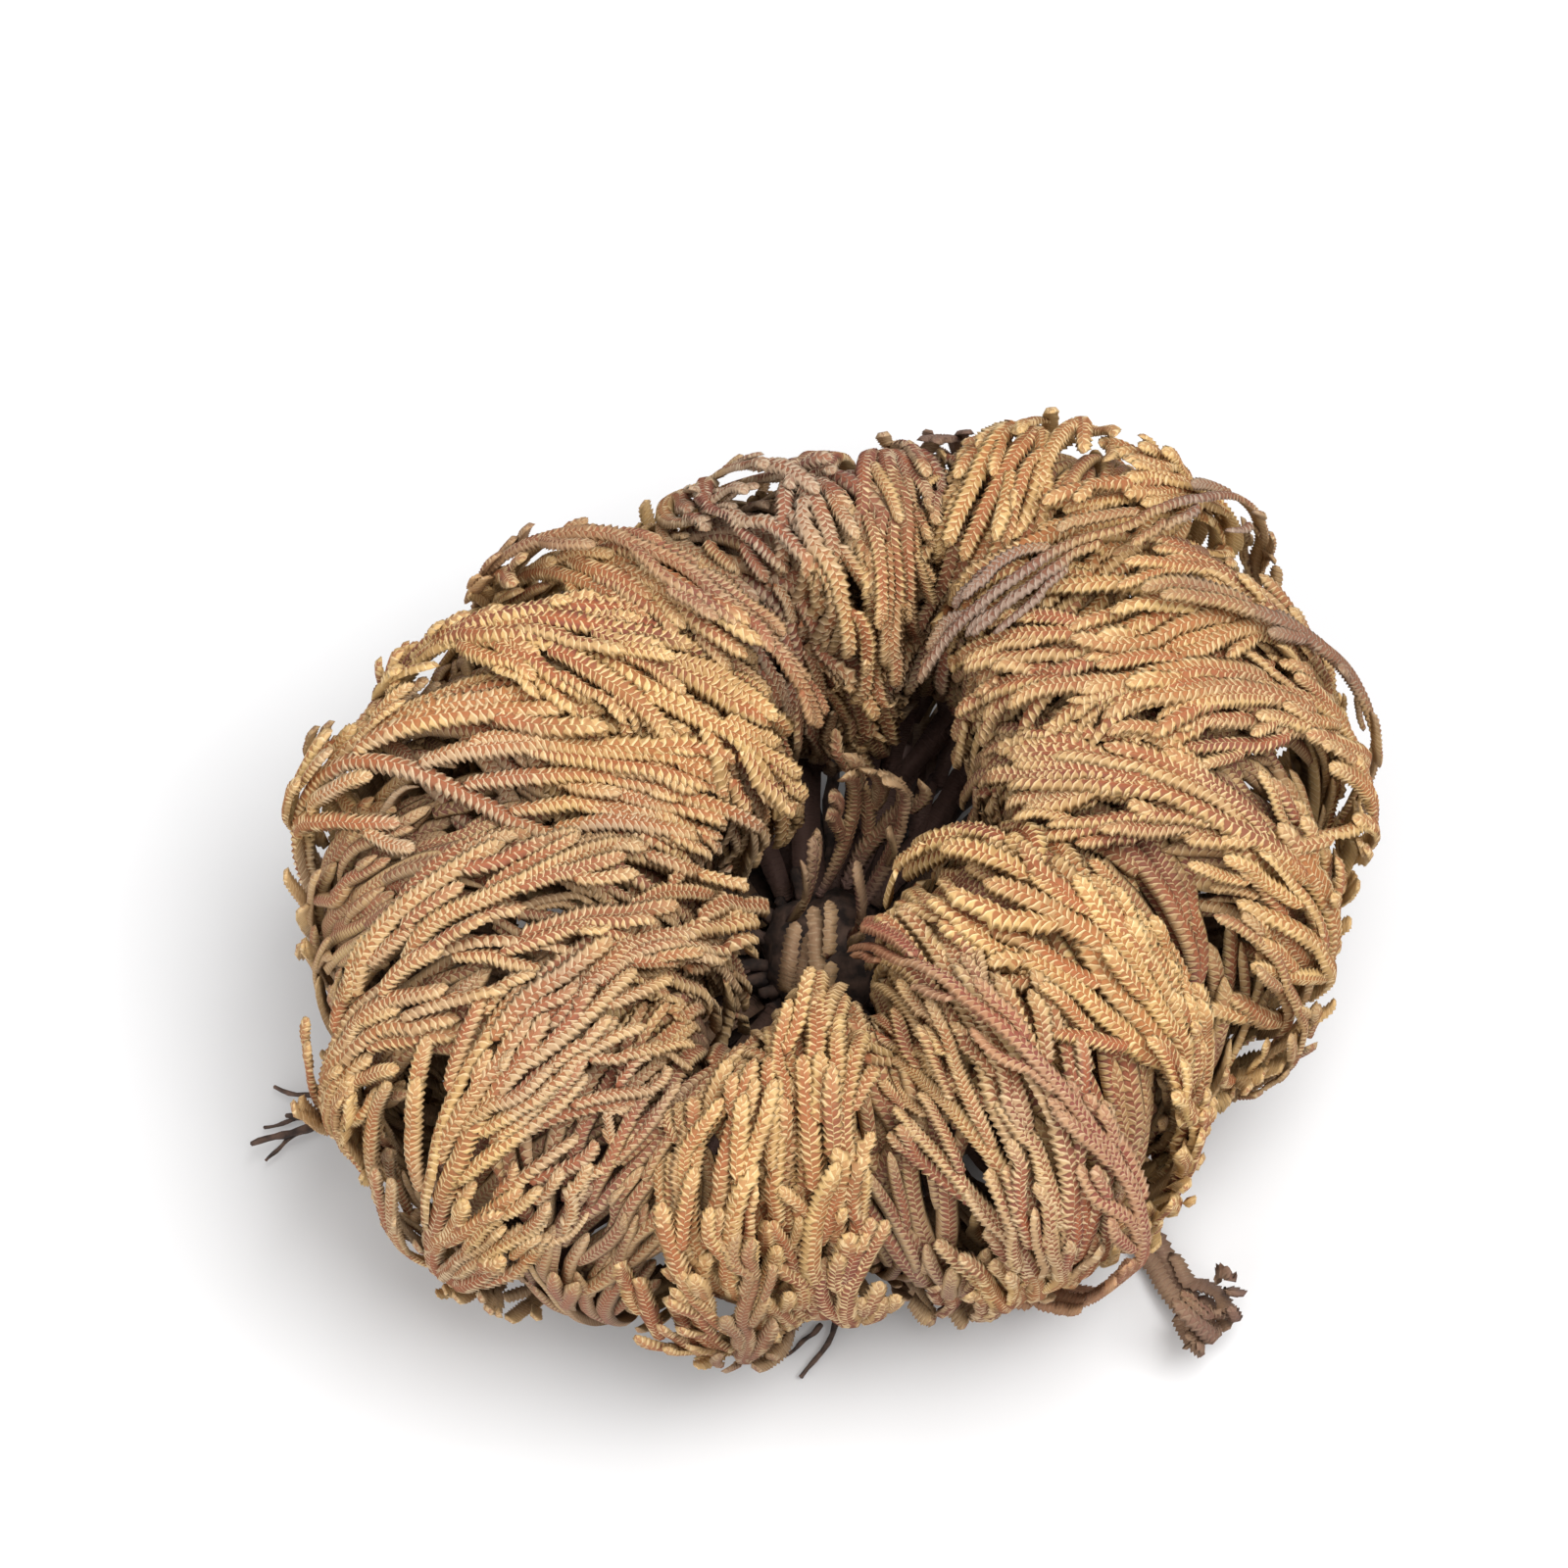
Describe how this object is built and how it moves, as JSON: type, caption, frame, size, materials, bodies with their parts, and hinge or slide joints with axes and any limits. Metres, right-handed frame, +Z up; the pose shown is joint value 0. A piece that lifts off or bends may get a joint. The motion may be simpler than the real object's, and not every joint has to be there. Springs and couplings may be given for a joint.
{
  "type": "dried rose of jericho",
  "caption": "Dried resurrection plant curled into a ball: scaly fern-like fronds folded over a hollow middle, on a short woody crown with loose roots.",
  "frame": {"origin": "middle of the flat underside of the root pad, on the surface that the plant rests on", "axes": "+Z up from that surface, +X along the ball's longest side, and -Y towards the picture's camera"},
  "size_m": [0.1255, 0.1074, 0.0659],
  "materials": {
    "outer_fronds": "dry straw-coloured scale leaves with red-brown centres, matt",
    "middle_fronds": "dry tan scale leaves with rust-red centres, matt",
    "inner_fronds": "dry brown and wine-red scale leaves, matt",
    "old_fronds": "old purple-grey-brown scale leaves, matt and dusty",
    "heart_fronds": "young curled scale leaves, tan and wine-red, matt",
    "crown": "dark fibrous stem and matted roots, rough",
    "roots": "thin dark wiry roots, matt",
    "broken_frond": "dead brown frond with torn tips, matt"
  },
  "bodies": {
    "root": {"crown": "crown", "old_frond_01": "old_fronds", "old_frond_02": "old_fronds", "old_frond_03": "old_fronds", "old_frond_04": "old_fronds", "old_frond_05": "old_fronds", "old_frond_06": "old_fronds", "old_frond_07": "old_fronds", "old_frond_08": "old_fronds", "outer_frond_01": "outer_fronds", "outer_frond_02": "outer_fronds", "outer_frond_03": "outer_fronds", "outer_frond_04": "outer_fronds", "outer_frond_05": "outer_fronds", "outer_frond_06": "outer_fronds", "outer_frond_07": "outer_fronds", "outer_frond_08": "outer_fronds", "outer_frond_09": "outer_fronds", "outer_frond_10": "outer_fronds", "outer_frond_11": "outer_fronds", "outer_frond_12": "outer_fronds", "outer_frond_13": "outer_fronds", "outer_frond_14": "outer_fronds", "outer_frond_15": "outer_fronds", "outer_frond_16": "outer_fronds", "middle_frond_01": "middle_fronds", "middle_frond_02": "middle_fronds", "middle_frond_03": "middle_fronds", "middle_frond_04": "middle_fronds", "middle_frond_05": "middle_fronds", "middle_frond_06": "middle_fronds", "middle_frond_07": "middle_fronds", "middle_frond_08": "middle_fronds", "middle_frond_09": "middle_fronds", "middle_frond_10": "middle_fronds", "middle_frond_11": "middle_fronds", "middle_frond_12": "middle_fronds", "middle_frond_13": "middle_fronds", "middle_frond_14": "middle_fronds", "middle_frond_15": "middle_fronds", "middle_frond_16": "middle_fronds", "inner_frond_01": "inner_fronds", "inner_frond_02": "inner_fronds", "inner_frond_03": "inner_fronds", "inner_frond_04": "inner_fronds", "inner_frond_05": "inner_fronds", "inner_frond_06": "inner_fronds", "inner_frond_07": "inner_fronds", "inner_frond_08": "inner_fronds", "inner_frond_09": "inner_fronds", "heart_frond_1": "heart_fronds", "heart_frond_2": "heart_fronds", "heart_frond_3": "heart_fronds", "heart_frond_4": "heart_fronds", "heart_frond_5": "heart_fronds", "heart_frond_6": "heart_fronds", "root_bundle_left": "roots", "root_bundle_front": "roots", "root_bundle_back": "roots", "broken_frond": "broken_frond"}
  },
  "joints": []
}
